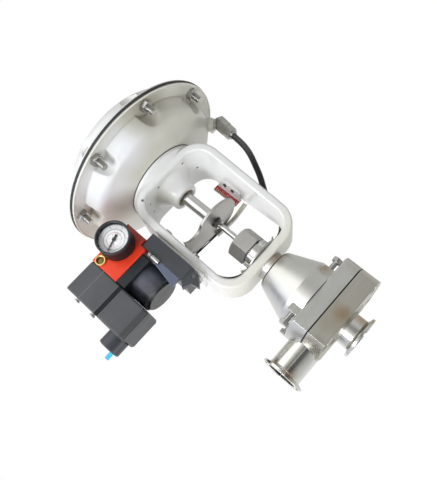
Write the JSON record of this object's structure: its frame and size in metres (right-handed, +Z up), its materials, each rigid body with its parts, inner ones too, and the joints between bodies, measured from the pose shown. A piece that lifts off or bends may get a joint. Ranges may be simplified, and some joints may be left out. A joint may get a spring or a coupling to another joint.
{
  "type": "diaphragm control valve",
  "caption": "Sanitary angle diaphragm valve with clamp ferrules, a spring-and-diaphragm actuator on a cast yoke, and a side-mounted positioner with a gauge.",
  "frame": {"origin": "centre of the outlet ferrule's face", "axes": "+Z up the stem towards the actuator; the inlet ferrule faces -X; the gauge faces -Y"},
  "size_m": [0.3158, 0.2336, 0.387],
  "materials": {
    "stainless": "brushed",
    "stainless_machined": "turned",
    "bolt_steel": "plain",
    "white_paint": "gloss, worn",
    "casing_paint": "satin, worn",
    "membrane_rubber": "matt",
    "packing": "matt",
    "bronze": "plain",
    "spring_steel": "satin",
    "red_anodised": "satin",
    "scale_red": "printed",
    "black_plastic": "moulded",
    "grey_plastic": "moulded",
    "housing_plastic": "moulded",
    "cover_grey": "moulded",
    "dial_white": "printed",
    "lens": "clear",
    "brass": "turned",
    "dark_steel": "blacked",
    "tube_black": "smooth",
    "fitting_metal": "forged",
    "cyan_plastic": "moulded",
    "black_zinc": "blacked"
  },
  "bodies": {
    "valve": {"actuator_diaphragm": "membrane_rubber", "air_elbow": "fitting_metal", "air_tube": "tube_black", "bonnet": "stainless_machined", "bonnet_bolts": "bolt_steel", "bracket_screws": "bolt_steel", "brass_port": "brass", "casing_bolts": "bolt_steel", "casing_nuts": "bolt_steel", "conduit_entry": "grey_plastic", "conduit_plug": "cyan_plastic", "elbow_nut": "fitting_metal", "gauge_bezel": "black_plastic", "gauge_case": "black_plastic", "gauge_dial": "dial_white", "gauge_lens": "lens", "inlet_ferrule": "stainless_machined", "lever_cover": "cover_grey", "lower_casing": "casing_paint", "manifold_block": "red_anodised", "module_cap": "grey_plastic", "module_gasket": "black_plastic", "module_lower": "grey_plastic", "module_mid": "grey_plastic", "outlet_ferrule": "stainless_machined", "packing_follower": "stainless_machined", "packing_nut": "stainless", "packing_rings": "packing", "pad_screws": "bolt_steel", "pilot_chamber": "black_plastic", "pilot_plate": "black_plastic", "positioner_bracket": "dark_steel", "positioner_housing": "housing_plastic", "positioner_screws": "bolt_steel", "process_diaphragm": "packing", "range_spring": "spring_steel", "scale_bracket": "white_paint", "scale_screws": "black_zinc", "spring_seat": "spring_steel", "stem_bushing": "bronze", "travel_scale": "scale_red", "tube_fitting": "fitting_metal", "upper_casing": "casing_paint", "valve_body": "stainless", "vent_plug": "brass", "yoke": "white_paint", "yoke_bushing": "bronze", "yoke_locknut": "stainless", "yoke_washer": "stainless"},
    "stem": {"valve_stem": "stainless_machined", "compressor": "stainless_machined", "stem_nut": "stainless_machined", "stem_washer": "dark_steel", "takeoff_plate": "stainless", "pointer": "dark_steel", "actuator_stem": "stainless_machined", "diaphragm_plate": "spring_steel", "clamp_nut": "bolt_steel"},
    "feedback_lever": {"feedback_lever": "stainless"},
    "gauge_needle": {"gauge_pointer": "black_zinc"}
  },
  "joints": [
    {"name": "stem_slide", "type": "slide", "parent": "valve", "child": "stem", "axis": [0, 0, 1], "range_m": [0, 0.012], "stiffness_N_per_m": 40000, "springref_m": -0.005, "deforming": ["range_spring", "actuator_diaphragm", "process_diaphragm"]},
    {"name": "feedback_turn", "type": "hinge", "parent": "valve", "child": "feedback_lever", "pos_m": [-0.073, -0.024, 0.2228], "axis": [1, 0, 0], "range_deg": [0, 28.3]},
    {"name": "gauge_needle_turn", "type": "hinge", "parent": "valve", "child": "gauge_needle", "pos_m": [-0.1, -0.06, 0.263], "axis": [0, 1, 0], "range_deg": [0, 270], "stiffness_Nm_per_rad": 0.0005}
  ],
  "couplings": [
    {"joint": "feedback_turn", "follows": "stem_slide", "rad_per_m": 40.83}
  ]
}
